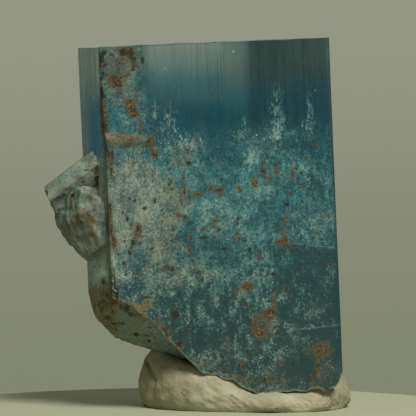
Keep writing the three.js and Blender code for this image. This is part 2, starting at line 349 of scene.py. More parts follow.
RUST = [
    (-6.8, 35.5, 1.5, 1.2, 0.3), (-6.6, 33, 1.6, 1.8, 0.16), (-6, 27.8, 2.6, 0.5, 0.25),
    (-6.6, 36.5, 0.6, 0.3, 0.3), (-8.3, 30, 0.2, 0.5, 0.7), (-8.2, 28.8, 0.25, 0.4, 0.7),
    (-8.2, 29.5, 0.2, 0.3, 0.7), (-4.7, 28.6, 0.12, 0.6, 0.8), (-4.7, 29.4, 0.15, 0.3, 0.5),
    (-6, 36.1, 0.3, 0.4, 0.8), (-5.3, 36.3, 0.4, 0.4, 0.8), (-5.1, 35.1, 0.2, 0.6, 0.8),
    (-5.7, 34, 0.3, 0.3, 0.5), (-6.6, 32.3, 0.3, 0.2, 0.4), (-4.1, 32.9, 0.2, 0.2, 0.4),
    (-3.8, 32.1, 0.15, 0.2, 0.4), (-2.8, 28, 0.2, 0.2, 0.8), (-2.2, 28.9, 0.15, 0.2, 0.5),
    (-3.3, 28.1, 0.15, 0.2, 0.7), (-2.8, 26.2, 0.3, 0.2, 0.5), (-7.9, 25.6, 0.2, 0.2, 0.6),
    (-9.4, 24.6, 0.3, 0.5, 0.7), (-9.4, 23.7, 0.15, 0.2, 0.9), (-9.9, 25.7, 0.3, 0.3, 0.4),
    (-7, 27.5, 1.2, 0.2, 0.6), (-8.4, 35, 0.2, 0.5, 0.5), (-3.2, 34.1, 0.1, 0.2, 0.4),
    (-7.3, 33.8, 0.3, 0.3, 0.6), (-6.9, 33.2, 0.6, 0.4, 0.9), (-4.9, 32.4, 0.4, 0.2, 0.4),
    (-5.8, 31.4, 0.4, 0.3, 0.8), (3, 31.2, 0.15, 0.15, 0.8), (-5.5, 30.7, 0.4, 0.5, 1),
    (-8.5, 30.6, 0.4, 1, 0.8), (-3, 30.3, 0.2, 0.2, 0.7), (-0.7, 30.1, 0.12, 0.12, 0.7),
    (-5.3, 30, 0.5, 0.3, 0.8), (-1.9, 29.4, 0.16, 0.16, 0.7), (-8.4, 29, 0.3, 0.5, 0.7),
    (-8.5, 28.3, 0.5, 0.2, 0.5), (-7.6, 28, 0.6, 0.2, 0.4), (-6.6, 27.7, 0.7, 0.2, 0.5),
    (-5.5, 27.6, 0.5, 0.2, 0.6), (-3.7, 27.3, 0.3, 0.4, 0.9), (8.9, 26.6, 0.16, 0.16, 1.1),
    (-3.6, 26.4, 0.2, 0.5, 0.8), (12.8, 26.2, 0.18, 0.18, 1.2), (-3.4, 25.8, 0.2, 0.4, 0.8),
    (11.6, 25, 0.15, 0.15, 1), (-7.8, 24.8, 0.15, 1, 0.9), (7.4, 24.6, 0.2, 0.2, 1),
    (4, 24, 0.3, 0.15, 0.5), (8.7, 23.9, 0.2, 0.7, 0.7), (-11, 23.9, 0.6, 0.2, 0.8),
    (7.4, 23.8, 0.3, 0.3, 1), (-0.6, 23.5, 0.15, 0.15, 1.2), (10.3, 23.3, 0.2, 0.8, 0.6),
    (-13.8, 23.2, 0.2, 0.3, 0.5), (-1.9, 23.1, 0.15, 0.13, 1.1), (-9.3, 23.1, 0.2, 0.5, 0.8),
    (7.9, 22.9, 0.25, 0.3, 0.9), (-12.4, 22.8, 0.6, 0.2, 0.8), (6.5, 22.6, 0.35, 0.6, 0.7),
    (-1.8, 22.4, 0.2, 0.13, 1), (2.1, 22.3, 0.4, 0.4, 0.6), (4.8, 22.2, 0.15, 0.2, 1),
    (-0.6, 22.1, 0.2, 0.8, 0.55), (3, 22.1, 0.3, 0.26, 1.3), (11, 22.1, 0.15, 0.3, 0.7),
    (-10, 22, 0.3, 0.6, 0.6), (5, 21.9, 0.15, 0.2, 1), (-13.5, 21.8, 0.4, 0.2, 0.8),
    (0.7, 21.7, 0.5, 0.22, 0.9), (-11.9, 21.7, 0.3, 0.5, 0.7), (3.1, 21.6, 0.15, 0.15, 1),
    (-3.6, 21.3, 0.16, 0.26, 1.2), (-1, 21.3, 0.15, 0.5, 0.5), (-4.6, 20.6, 0.2, 0.16, 1.1),
    (-8.1, 20.3, 0.15, 1.2, 1), (-10.7, 20.2, 0.6, 0.5, 1), (-1.3, 19.8, 0.2, 0.3, 0.7),
    (-10, 19.5, 0.4, 0.7, 0.9), (-11.4, 19.5, 0.4, 0.4, 0.7), (-0.5, 19.4, 0.4, 0.2, 0.8),
    (13.4, 19.2, 0.13, 0.2, 0.9), (-8.4, 19.1, 0.12, 0.8, 0.7), (9.5, 19, 0.15, 0.6, 0.7),
    (2.4, 19, 0.4, 0.2, 0.7), (-5.3, 18.6, 0.4, 0.6, 0.7), (2.2, 18.5, 0.2, 0.2, 0.8),
    (-8, 18.4, 0.2, 0.7, 1), (1.2, 18.3, 0.4, 0.15, 0.8), (12.2, 18.2, 0.13, 0.15, 0.9),
    (8, 18.1, 0.15, 0.15, 0.8), (2.7, 18.1, 0.3, 0.2, 0.7), (-10.2, 18.1, 0.4, 0.3, 0.6),
    (9, 18, 0.15, 0.15, 0.9), (-5.6, 17.9, 0.3, 0.4, 0.6), (-9.6, 17.6, 0.3, 0.6, 0.6),
    (-0.2, 17.4, 0.2, 0.2, 1), (12.4, 17.4, 0.13, 0.2, 0.9), (-7.8, 17.2, 0.25, 0.6, 1),
    (4.6, 17.1, 0.18, 0.25, 1.1), (9.3, 17, 0.2, 0.6, 0.8), (8.7, 16.6, 0.4, 0.3, 0.8),
    (-0.3, 16.3, 0.18, 0.25, 1.1), (9.6, 16.2, 0.3, 0.2, 0.8), (6.5, 15.4, 0.13, 0.16, 1.2),
    (-6.9, 15.2, 0.18, 0.2, 1), (6.9, 15, 0.12, 0.15, 0.8), (-2.7, 14.5, 0.35, 0.2, 1.1),
    (-2.1, 14.3, 0.25, 0.12, 1), (5.3, 12.3, 0.45, 0.35, 1.3), (4.2, 12.1, 0.2, 0.2, 1.1),
    (8.9, 11.9, 0.15, 0.25, 0.7), (9.7, 11.2, 0.1, 0.2, 0.6), (8, 10.7, 0.12, 0.7, 0.9),
    (13, 10, 0.15, 0.2, 0.6), (7.6, 9.6, 0.4, 0.4, 1.1), (-2, 9.6, 0.35, 0.15, 0.4),
    (-3.6, 8.7, 0.6, 0.3, 0.6), (6.6, 8.4, 0.9, 1.1, 1), (6.6, 8.4, 0.5, 0.6, -1),
    (-2.6, 7.8, 0.16, 0.6, 0.9), (6.2, 7.7, 0.5, 0.3, 0.5), (-1.7, 6.6, 0.4, 0.2, 0.9),
    (12.5, 5.6, 0.8, 0.7, 1), (12.5, 5.6, 0.4, 0.35, -0.8), (4.5, 4.6, 0.13, 0.2, 1.4),
    (0.8, 4.6, 0.3, 0.12, 0.6), (8.4, 4.5, 0.16, 0.2, 0.9), (4.5, 4.2, 0.13, 0.15, 1.3),
    (2.8, 4.2, 0.4, 0.13, 0.9), (12, 4.1, 0.2, 0.5, 0.8), (4.2, 3.2, 0.4, 0.2, 0.8),
    (12.1, 3.1, 0.22, 0.3, 1), (6.7, 2.9, 0.3, 0.3, 0.9), (5.2, 2.7, 0.3, 0.2, 0.7),
    (8.7, 2.6, 0.2, 0.2, 0.6), (11.4, 2.4, 0.15, 0.2, 0.8),
]
DARK = [
    (-5.6, 21.4, 0.15, 0.2, 1.1), (-6.4, 19.6, 0.14, 0.3, 1.1), (-5.9, 17.2, 0.25, 0.3, 1.1),
    (-6.3, 16.2, 0.16, 0.4, 1.1), (-3.9, 16.6, 0.14, 0.2, 1), (-1.9, 18.3, 0.3, 0.12, 1),
    (1.1, 17.4, 0.5, 0.14, 1), (3.1, 16.2, 0.3, 0.14, 1), (0.5, 13.9, 0.35, 0.12, 1),
    (-3.4, 11.6, 0.25, 0.12, 0.9), (-7.9, 36.3, 0.15, 0.18, 1.2), (-6.3, 36.3, 0.18, 0.25, 1.3),
    (-7.1, 35.9, 0.13, 0.2, 1.1), (-7.4, 36.1, 0.12, 0.12, 1.1), (-7.9, 35, 0.18, 0.13, 1.1),
    (-5.4, 36.2, 0.12, 0.35, 1.2), (-5.2, 34.5, 0.18, 0.15, 1.1), (-7, 33.8, 0.14, 0.14, 1.1),
    (-8.4, 33.7, 0.16, 0.2, 1), (-8.2, 31.9, 0.2, 0.16, 1.2), (-5.3, 30.4, 0.14, 0.14, 1.3),
    (-8.4, 29, 0.4, 0.35, 1), (-5.2, 28.5, 0.12, 0.14, 1), (-7.6, 25.9, 0.16, 0.7, 1),
    (-7.5, 23.6, 0.12, 0.5, 0.9), (-6, 36.2, 0.4, 0.3, 0.7), (-8.3, 35.8, 0.25, 0.7, 1.2),
    (-5.2, 35.7, 0.3, 0.8, 0.8), (-4.2, 35.4, 0.17, 0.35, 1.4), (-6.6, 34.5, 0.15, 0.5, 0.5),
    (-8.2, 34.2, 0.2, 0.4, 0.8), (5.5, 34.2, 0.3, 0.2, 0.5), (-6.4, 33.8, 0.15, 0.3, 0.6),
    (-8.4, 32.4, 0.2, 0.6, 1.1), (-8.5, 31.6, 0.15, 0.5, 0.6), (-4, 27.1, 0.3, 0.5, 0.8),
    (-8.2, 27, 0.2, 0.6, 1), (-6, 27, 0.6, 0.22, 0.9), (-8, 26.1, 0.15, 0.5, 0.8),
    (-3.3, 25.9, 0.18, 0.4, 1), (-1.5, 25.7, 0.25, 0.1, 0.9), (11.7, 24.8, 0.15, 0.15, 0.9),
    (-10.3, 24.6, 0.6, 0.12, 0.7), (8.6, 24.4, 0.15, 0.5, 0.7), (-7.8, 24.3, 0.13, 0.4, 0.8),
    (7.3, 24.1, 0.12, 0.4, 0.8), (-9.3, 23.8, 0.3, 0.15, 0.8), (10.2, 23.6, 0.12, 0.5, 0.7),
    (10.8, 22.8, 0.12, 0.5, 0.7), (-11.8, 22.1, 0.2, 0.2, 0.8), (-13.1, 22, 0.4, 0.13, 0.7),
    (-8.1, 20.9, 0.2, 0.4, 0.8), (-9.7, 20.6, 0.2, 0.3, 0.7), (9.6, 20.4, 0.15, 0.25, 1.1),
    (-10.3, 20.3, 0.3, 0.3, 0.9), (-0.7, 19.6, 0.7, 0.2, 0.7), (-11, 19.5, 0.2, 0.2, 0.8),
    (-0.2, 19, 0.4, 0.2, 0.6), (-5.4, 18.5, 0.2, 0.5, 0.9), (8, 18.1, 0.13, 0.13, 0.8),
    (-4.9, 17.8, 0.2, 0.15, 0.7), (-8, 17.6, 0.15, 0.4, 0.7), (-2.6, 17.3, 0.2, 0.2, 0.4),
    (-5.2, 17.1, 0.2, 0.15, 1), (8.8, 16.6, 0.2, 0.2, 0.6), (5.7, 16, 0.18, 0.24, 1.2),
    (8.3, 15.3, 0.3, 0.3, 0.6), (10.7, 15.3, 2, 0.15, 0.3), (1.4, 14.7, 0.16, 0.16, 0.7),
    (-2.1, 14.5, 0.2, 0.2, 0.7), (5.1, 14.2, 0.16, 0.2, 0.7), (-9.1, 13.4, 0.2, 0.4, 0.9),
    (-8.8, 11.8, 0.15, 0.3, 0.9), (9.5, 11.6, 0.1, 0.2, 0.7), (11.7, 11.4, 0.13, 0.2, 0.8),
    (-7.5, 10.9, 0.3, 0.4, 0.9), (-6.8, 10.7, 0.3, 0.5, 1), (10.6, 10.6, 0.15, 0.2, 0.8),
    (-8.3, 10.3, 0.15, 0.5, 0.9), (-5.8, 10, 0.8, 0.13, 0.6), (-6.5, 9.9, 0.3, 0.3, 0.7),
    (-2, 9.8, 0.32, 0.3, 1.8), (-8.9, 9.6, 0.4, 0.3, 1.1), (-7.4, 9, 0.5, 0.2, 0.8),
    (-8.3, 8.9, 0.3, 0.2, 1), (-9.2, 8.6, 0.3, 0.2, 0.6), (-3.3, 8.4, 0.25, 0.2, 0.8),
    (4, 8, 0.15, 0.4, 0.6), (-6.3, 7.8, 0.2, 0.13, 0.6), (-6, 7.7, 0.4, 0.18, 1),
    (-3, 7.7, 0.15, 0.4, 0.7), (3.6, 7.6, 0.2, 1.2, 0.5), (-4.9, 7, 0.3, 0.13, 1),
    (-1.8, 6.8, 0.3, 0.2, 1.1), (2.7, 4.2, 0.3, 0.1, 0.9), (6.6, 2.9, 0.15, 0.3, 1),
    (10.9, 1.8, 0.3, 0.1, 0.8),
]
MILK = [
    (-3, 33.8, 0.12, 0.5, 1), (-2.7, 30.2, 0.1, 0.9, 0.9), (-1.9, 29.6, 0.12, 1.4, 0.8),
    (-3.1, 30.6, 0.1, 1.3, 0.9), (-8.95, 24.8, 0.3, 3.2, 1.2), (-5.1, 13.8, 1, 1, -0.6),
    (2.2, 5.9, 1.4, 1.6, -1), (-7.3, 14.2, 0.8, 1.2, 1), (2.4, 7.2, 1.8, 1.9, -1.3),
    (-0.6, 11.6, 1.2, 1.2, -0.9), (-5, 13.2, 1.1, 0.9, -0.6), (-3, 15.4, 1, 0.9, -0.6),
    (7.2, 23.5, 1.2, 1, -0.8), (7.2, 15.7, 1.1, 1, -0.8), (12.8, 19.4, 2, 1.1, -1.2),
    (0.2, 7.6, 1, 1, -0.6), (-6.3, 13.8, 1, 1, 0.9), (11.6, 23.6, 1, 1, 0.7), (11.5, 17.4, 1, 0.9, 0.6),
    (5.5, 19.4, 1, 1, 0.4), (-3.6, 20.5, 1.5, 3.2, 0.5), (-2.5, 28.5, 1.8, 2.2, 0.55),
    (0.6, 27.2, 2.2, 1.3, 0.5), (-4.6, 26.2, 2.2, 1.2, 0.4), (6.2, 27.2, 1.8, 0.9, 0.2),
    (10.6, 27.4, 2.4, 0.9, 0.4), (9.1, 29.5, 0.7, 3.0, 0.5), (12.4, 29.3, 0.5, 2.2, 0.4),
    (-5.9, 36.3, 1.2, 0.4, 0.5), (-7.2, 36.1, 1, 0.5, 0.8), (-7.3, 35.4, 0.8, 0.8, 0.4),
    (-3, 35, 0.15, 0.9, 0.5), (-8.2, 34.6, 0.2, 3, 0.3), (-5.5, 34, 0.9, 1.2, 0.5),
    (-10.4, 33.7, 0.3, 3, 0.4), (-9.2, 31.7, 0.3, 0.4, 0.9), (-5, 31.5, 1, 1.2, 0.3), (9, 30.5, 0.6, 2, 1),
    (12.2, 30.3, 0.3, 1.4, 0.7), (-3.2, 30.2, 0.15, 1.2, 0.9), (-1.7, 29.5, 0.9, 2, 0.6),
    (-5.2, 29.5, 1.4, 1, 0.4), (5.7, 29, 0.3, 0.7, 0.8), (11.9, 28.4, 0.8, 0.7, 0.7),
    (1.2, 28.4, 0.4, 0.8, 0.4), (8.8, 28.1, 0.9, 1.4, 0.6), (5.2, 27.7, 0.8, 0.5, 0.5),
    (-0.2, 27, 0.9, 0.6, 0.8), (4.4, 26.5, 0.6, 0.5, 0.7), (-2.4, 26.3, 0.9, 0.6, 0.8),
    (6.3, 25.2, 0.7, 1.4, 1.1), (-10.9, 24.7, 1.2, 0.8, 0.7), (-1.3, 24.1, 1.2, 1.8, 0.5),
    (-13, 23.3, 0.8, 0.6, 0.6), (6.6, 22.8, 0.8, 0.9, 0.7), (-10.4, 22.7, 1.2, 1, 1),
    (13.5, 22.8, 0.7, 1.2, 0.35), (-3.2, 22.2, 1.4, 2.2, 0.6), (-6, 22, 2.2, 3.4, 1),
    (-11.6, 21.2, 0.8, 0.8, 0.6), (-1.3, 20.8, 0.8, 1, 0.3), (-12.5, 20.3, 0.6, 1, 0.4),
    (-0.4, 19.8, 1.4, 1.2, 0.5), (2.1, 19.6, 1.4, 1.6, 0.8), (10.9, 19.2, 1.2, 1.4, 0.25),
    (-4.2, 18.9, 1.2, 1.8, 0.6), (-4.9, 18.6, 0.12, 1.2, 0.7), (-12.2, 18.2, 0.5, 0.8, 0.5),
    (4, 18.1, 1.2, 1.8, 0.5), (-7.2, 18, 1.4, 2, 0.6), (1.3, 17.7, 1.6, 1, 0.4),
    (13, 17.2, 1.2, 1.2, 0.25), (-10.8, 17.2, 0.8, 0.8, 0.5), (-4.3, 16.8, 0.12, 1, 0.7),
    (-2.8, 15.5, 1, 1.4, 0.4), (-2.1, 15.5, 0.8, 0.4, 0.5), (-7.9, 15.4, 0.12, 1.4, 1.1),
    (-4.5, 15.2, 0.12, 1, 0.6), (-0.8, 15.1, 1.2, 0.8, 0.3), (-9.8, 14.6, 0.6, 1.2, 0.4),
    (3.2, 13.9, 0.9, 0.8, 0.9), (-4, 13.4, 0.12, 0.8, 0.6), (13.6, 13.2, 0.6, 1.6, 0.3),
    (2.1, 12.8, 0.8, 0.6, 0.4), (10.2, 12.8, 0.6, 1.4, 0.3), (-6.4, 12.8, 0.6, 0.3, 0.5),
    (5.6, 12.7, 1.2, 1, 0.6), (-3.9, 12.1, 0.6, 0.6, 0.5), (-10.3, 11.7, 0.4, 1.4, 0.3),
    (-0.9, 11.6, 0.5, 0.8, 0.4), (5.1, 11.5, 0.9, 0.8, 0.5), (-6.9, 11.2, 0.5, 0.2, 0.7),
    (7.5, 10.9, 1.2, 1.6, 0.5), (11.3, 10.7, 0.9, 1, 0.25), (-1.9, 10.6, 0.6, 0.5, 0.5),
    (3.8, 10.6, 0.8, 1.2, 0.4), (-4.7, 10.6, 0.7, 0.2, 0.7), (-3.8, 9.6, 0.8, 0.4, 0.8),
    (-0.6, 9.2, 0.6, 0.8, 0.5), (1.5, 9.2, 0.5, 0.3, 0.9), (-2.8, 8.8, 0.3, 0.4, 0.6),
    (7.9, 8.7, 0.5, 0.4, 1.3), (11.2, 8, 1.4, 0.3, 0.5), (9.5, 7.9, 0.45, 0.5, 0.9),
    (5, 7.6, 0.4, 0.4, 0.6), (-2.1, 7.1, 0.5, 0.5, 0.5), (6.5, 6.4, 1.6, 1.2, 0.5),
    (4.3, 6, 0.4, 0.9, 0.6), (9.4, 5.8, 0.5, 0.6, 0.4), (1.6, 5.7, 0.3, 0.8, 0.9), (7.9, 5.7, 1, 1, 0.4),
    (13.3, 4.7, 0.7, 2.2, 0.5), (0.7, 4.1, 0.6, 0.2, 0.5), (4.7, 3.8, 0.6, 0.5, 0.5),
    (6.4, 3.7, 1.2, 0.6, 0.6), (2.4, 3.4, 0.8, 0.2, 0.4), (10.7, 2.4, 1, 0.5, 0.6),
]
# Painted highlights: star glints and a bright blade edge line; the last four rows draw a pale crack.
PAINTED_GLINTS_AND_CRACK = [
    (-2.0, 34.5, 0.13, 0.13, 1.5), (12.9, 31.7, 0.12, 0.12, 1.15), (4.9, 35.9, 0.2, 0.2, 1.1),
    (5.4, 35.4, 0.13, 0.16, 1.0), (-9.3, 31.8, 0.13, 0.15, 1.1), (6.9, 27.5, 0.12, 0.12, 1.4),
    (4.2, 28.0, 0.13, 0.1, 1.0), (1.5, 35.7, 0.1, 0.1, 0.9), (7.9, 8.4, 0.22, 0.2, 0.8),
    (-4.3, 28.9, 0.16, 0.16, 0.9), (-7.9, 15.4, 0.12, 1.5, 0.85), (-5.0, 18.8, 0.1, 1.3, 0.66),
    (-4.5, 17.0, 0.1, 0.9, 0.7), (-4.45, 15.3, 0.1, 0.9, 0.66), (-4.0, 13.6, 0.1, 0.8, 0.62),
]


def blots(points, marks):
    """Sum of soft round blots: each is strength times e^-(across^2 + up^2), in its own half widths."""
    total = np.zeros(len(points))
    for across, up, wide, tall, strength in marks:
        off_across, off_up = (points[:, 0] - across) / wide, (points[:, 2] - up) / tall
        total += strength * np.exp(-(off_across**2) - off_up**2)
    return total * ease(-points[:, 1], 3.0, 4.0)


def points_of(piece):
    """All vertices of a piece, in metres."""
    points = np.empty(3 * len(piece.data.vertices))
    piece.data.vertices.foreach_get("co", points)
    return points.reshape(-1, 3)


def note(piece, name, values):
    """Keeps a number for each vertex under a name that the material reads."""
    attribute = piece.data.attributes.new(name, "FLOAT", "POINT")
    attribute.data.foreach_set("value", values.astype(np.float32))


upright = (points_of(prism) / MM - CRYSTAL_PLACE) @ upright_to_leaning
across, deep, up = upright.T
LEFT_OUTWARD = np.array([-math.cos(math.pi / 6), -math.sin(math.pi / 6)])
outside = ease((upright[:, :2] - FRONT_LEFT) @ LEFT_OUTWARD, 0.1, 0.3)  # 1 on the side crystal and the knob
on_side = ease(-across, 8.4, 8.7) * (1 - outside)  # the narrow left face, combed by growth and little etched
sliver = ease(across, 14.25, 14.4) * ease(-deep, 5.0, 6.0)  # the very narrow face on the front right
blue_band = on_side * (0.4 + 0.6 * ease(across, -10.4, -9.6)) * ease(up, 25, 27) * ease(-up, -34.5, -30)

# How much of the skin is etched: none at the clear end, most of it lower down and on the small crystals.
frost = 0.78 * ease(-up, -30.5, -22.5)
frost = np.maximum(frost, 0.62 * ease(-across, 2.6, 5.2) * (1 - on_side))
frost = np.maximum(frost * (1 - on_side), on_side * (0.74 + 0.12 * ease(-up, -26, -20)))
frost = np.maximum(frost * (1 - sliver), 0.9 * np.maximum(outside, sliver))

# How much iron colours it: on the left below, on the torn lower edge, over the blade's step and at the rim.
stained = 0.9 * ease(-across, 7.0, 8.4) * ease(-up, -15.5, -11) * ease(-deep, 3.0, 4.0) * ease(up, 5.5, 7.5)
torn = 0.4 * ripple(upright, 1.4, 63) + 0.2 * ripple(upright, 0.5, 64)
crusted = ease(torn - across, 4.0, 4.8) * ease(torn - up, -11.5, -10.9) * ease(-deep, 7.2, 7.9)
stained = np.maximum(stained, 0.9 * crusted)
stained = np.maximum(stained, 0.4 * outside)
over_blade = ease(-across, 3.0, 3.8) * ease(across, -8.6, -8.4) * ease(-deep, 3.0, 4.0)
above_ledge = up - 27.95 + 0.12 * (across + 8.5) + 0.12 * ripple(upright, 1.3, 68)
stained = np.maximum(stained, 0.85 * over_blade * bell(above_ledge, 0, 0.32))
above_break = up - break_height(upright[:, :2])
broken = ease(-above_break, -0.06, 0.0)
rim = ease(-above_break, -0.6, -0.1) * ease(-deep, 7.2, 7.9) * ease(ripple(upright, 1.1, 65), -0.4, 0.7)
stained = np.maximum(stained, 0.6 * rim)
at_edge = ease(-across, 8.0, 8.6) * ease(up, 28, 29) * ease(-deep, 7.0, 7.6)
stained = np.maximum(stained, 0.45 * at_edge * ease(ripple(upright, 1.3, 69), 0.3, 1.1))

# How warm its grey is: most on the front left, with a wandering edge.
drift = ripple(upright, 3.4, 66) + 0.6 * ripple(upright, 1.2, 67)
warm = ease(drift - across, -2.2, 3.4) * ease(drift - up, -28.5, -24.5) * ease(up + drift, 10, 18)
warm = 0.9 * warm + 0.3 * ease(-up, -9, -3)
warm = warm + 0.7 * ease(0.6 * drift - across, 3.4, 6.0) * ease(up + drift, 27, 34) * (1 - on_side)

note(prism, "frost", frost)
note(prism, "milk", blots(upright, MILK))
note(prism, "rust", blots(upright, RUST))
note(prism, "dark", blots(upright, DARK))
# Painted highlights (glints and a bright edge line) and a pale crack.
note(prism, "painted_glint_and_crack", blots(upright, PAINTED_GLINTS_AND_CRACK))
note(prism, "stained", stained)
note(prism, "broken", broken * (1 - outside))
note(prism, "lumpy", outside)
# Up-facing slope of the blade's step: iron stain, painted darker too as shade where it faces the lamp.
note(prism, "ledge_stain_and_painted_shade", over_blade * bell(above_ledge, -0.5, 0.4))

# How much darker the skin is: more right of a wandering edge, below the partings and towards the foot. It
# also carries painted light and shade on the side crystal, the knob and the left face, as noted below.
edge = across + 0.9 * ripple(upright, 2.5, 61)
under_parting = ease(-(up + 0.16 * (across - 10)), -16.55, -16.3)
tone_and_painted_light = ease(edge, 6.8, 9.6) * (0.15 + 0.75 * under_parting + 0.5 * ease(-up, -8.1, -7.8))
tone_and_painted_light = tone_and_painted_light + 0.9 * ease(-up, -17, -7)
# Painted light and shade on the side crystal and knob, by height, set for how the lamp falls on them.
knob_painted_light_and_shade = 0.45 * bell(up, 19.3, 1.3) - 0.9 * ease(up, 20.3, 21.6) + 0.9 * ease(up, 24.8, 25.8)
tone_and_painted_light = tone_and_painted_light + outside * knob_painted_light_and_shade
# Painted light: the knob's lower, downward-facing part is made lighter.
tone_and_painted_light = tone_and_painted_light - 1.3 * outside * ease(-up, -18.5, -15.5)
# Painted light: the left face, turned away from the lamp, is lighter, most on a strip by its front edge.
strip_painted_light = ease(across, -9.5, -8.9) * ease(-up, -27.6, -26.8) * ease(up, 15, 19)
tone_and_painted_light = tone_and_painted_light - on_side * (0.35 + 0.9 * strip_painted_light)
note(prism, "tone_and_painted_light", tone_and_painted_light * (1 - 0.8 * broken))
on_outside = outside * (0.4 - 0.3 * ease(up, 19.5, 21) + 0.3 * ease(-up, -18.5, -16))
warm_side = on_side * (0.1 + 0.1 * ease(-up, -27, -22) + 0.6 * ease(-up, -14.5, -10))
note(prism, "warm", np.maximum(warm, on_outside + warm_side))
note(prism, "on_side", on_side)
note(prism, "sliver", np.maximum(sliver, blue_band))


class Wire:
    """A socket of a material's nodes that takes part in sums: each operator adds a Math node. Its node
    method makes every other node, from its kind, its settings (a ramp's stops too) and the values or wires
    of its sockets."""

    def __init__(self, tree, socket=None):
        self.tree = tree
        self.socket = socket

    def node(self, kind, settings=None, sockets=None, output=0):
        made = self.tree.nodes.new("ShaderNode" + kind)
        for name, value in (settings or {}).items():
            if name == "stops":
                made.color_ramp.elements.remove(made.color_ramp.elements[1])
                for index, (position, colour) in enumerate(value):
                    stop = made.color_ramp.elements.new(position) if index else made.color_ramp.elements[0]
                    stop.position = position
                    stop.color = colour
            else:
                setattr(made, name, value)
        for name, value in (sockets or {}).items():
            if isinstance(value, Wire):
                self.tree.links.new(value.socket, made.inputs[name])
            else:
                made.inputs[name].default_value = value
        return Wire(self.tree, made.outputs[output] if made.outputs else None)

    def sum(self, operation, *values):
        return self.node("Math", {"operation": operation}, dict(enumerate(values)))

    def __add__(self, other):
        return self.sum("ADD", self, other)

    __radd__ = __add__

    def __sub__(self, other):
        return self.sum("SUBTRACT", self, other)

    def __rsub__(self, other):
        return self.sum("SUBTRACT", other, self)

    def __mul__(self, other):
        return self.sum("MULTIPLY", self, other)

    __rmul__ = __mul__

    def __pow__(self, other):
        return self.sum("POWER", self, other)


def rise(value, start, end):
    """0 up to start, 1 from end on and a smooth rise between them."""
    settings = {"interpolation_type": "SMOOTHSTEP"}
    return value.node("MapRange", settings, {"Value": value, "From Min": start, "From Max": end})


def mix(factor, one, other):
    """One colour turning into the other as the factor goes from 0 to 1."""
    wire = next(value for value in (factor, one, other) if isinstance(value, Wire))
    return wire.node("Mix", {"data_type": "RGBA"}, {0: factor, 6: one, 7: other}, output=2)


def noise(place, scale, detail=4.0, roughness=0.6, stretch=(1, 1, 1)):
    """A cloudy number from 0 to 1, with scale clouds to the millimetre, drawn out along an axis by a small
    stretch."""
    drawn = place.node("VectorMath", {"operation": "MULTIPLY"}, {0: place, 1: stretch})
    sockets = {"Vector": drawn, "Scale": scale, "Detail": detail, "Roughness": roughness}
    return place.node("TexNoise", {}, sockets)


def noted(wire, name):
    """The number kept for each vertex under a name."""
    return wire.node("Attribute", {"attribute_name": name}, output="Fac")


def coordinate(place, axis):
    """One of a place's three numbers."""
    return place.node("SeparateXYZ", {}, {"Vector": place}, output=axis)


def ramp(value, stops):
    """The colour that the stops give a number."""
    return value.node("ValToRGB", {"stops": stops}, {"Fac": value})


def new_material(name):
    """An empty material and the wire that its nodes start from."""
    material = bpy.data.materials.new(name)
    material.use_nodes = True
    material.node_tree.nodes.clear()
    return material, Wire(material.node_tree)


def upright_place(wire):
    """Place on the crystal in its upright millimetres."""
    settled = -(CRYSTAL_PLACE @ upright_to_leaning)
    sockets = {
        "Vector": wire.node("TexCoord", output="Object"),
        "Scale": (1 / MM, 1 / MM, 1 / MM),
        "Rotation": (0, LEAN, 0),
        "Location": settled.tolist(),
    }
    return wire.node("Mapping", {}, sockets)


BERYL_IOR = 1.577
CLEAR_ZONES = [  # height in mm, and the colour that light keeps on its way through
    (1.0, (0.03, 0.16, 0.22, 1)),
    (10.0, (0.04, 0.2, 0.28, 1)),
    (20.0, (0.05, 0.28, 0.4, 1)),
    (26.0, (0.03, 0.24, 0.4, 1)),
    (29.2, (0.004, 0.17, 0.34, 1)),
    (30.4, (0.03, 0.24, 0.38, 1)),
    (31.4, (0.12, 0.38, 0.52, 1)),
    (33.0, (0.19, 0.48, 0.62, 1)),
    (34.6, (0.5, 0.78, 0.88, 1)),
    (36.8, (0.84, 0.97, 0.99, 1)),
]
SKIN_TONES = [  # of the etched skin, from thin over the deep colour to thick
    (0.0, (0.008, 0.06, 0.07, 1)),
    (0.25, (0.016, 0.1, 0.115, 1)),
    (0.5, (0.046, 0.165, 0.172, 1)),
    (0.75, (0.125, 0.23, 0.212, 1)),
    (1.0, (0.29, 0.36, 0.3, 1)),
]
CHALK = (0.58, 0.63, 0.54, 1)
WARM_LIGHT = (0.3, 0.305, 0.2, 1)
WARM_SHADE = (0.1, 0.13, 0.1, 1)
OLIVE = (0.12, 0.112, 0.05, 1)
UMBER = (0.022, 0.017, 0.007, 1)
RUSTY = (0.1, 0.052, 0.009, 1)
ORANGE = (0.22, 0.11, 0.011, 1)
OCHRE = (0.29, 0.19, 0.05, 1)
IRON = [(0.45, UMBER), (0.53, RUSTY), (0.6, ORANGE), (0.7, OCHRE)]
PALE_OLIVE = (0.15, 0.14, 0.06, 1)
CRUST = [(0.36, UMBER), (0.43, OLIVE), (0.54, PALE_OLIVE), (0.68, OCHRE)]
GREEN_GLASS = (0.235, 0.3, 0.225, 1)
LOW_TINT = (0.97, 0.8, 0.74, 1)  # of the etched skin, towards the foot
HIGH_TINT = (0.72, 1.12, 1.2, 1)  # and towards the clear end
NAVY = (0.004, 0.04, 0.075, 1)
CLEAR_BLUE = (0.004, 0.22, 0.42, 1)
COMB_DARK = (0.22, 0.37, 0.38, 1)  # of the lines on the left face
COMB_PALE = (0.58, 0.74, 0.73, 1)
SEAMS = [(16.42, -0.16), (7.9, 0.04)]  # height in mm of each parting at x = 10 mm, and its slope
SEAM_COLOUR = (0.2, 0.34, 0.34, 1)
HALO = (0.15, 0.127, 0.055, 1)  # round an iron stain
BROKEN_GREEN = (0.085, 0.15, 0.13, 1)
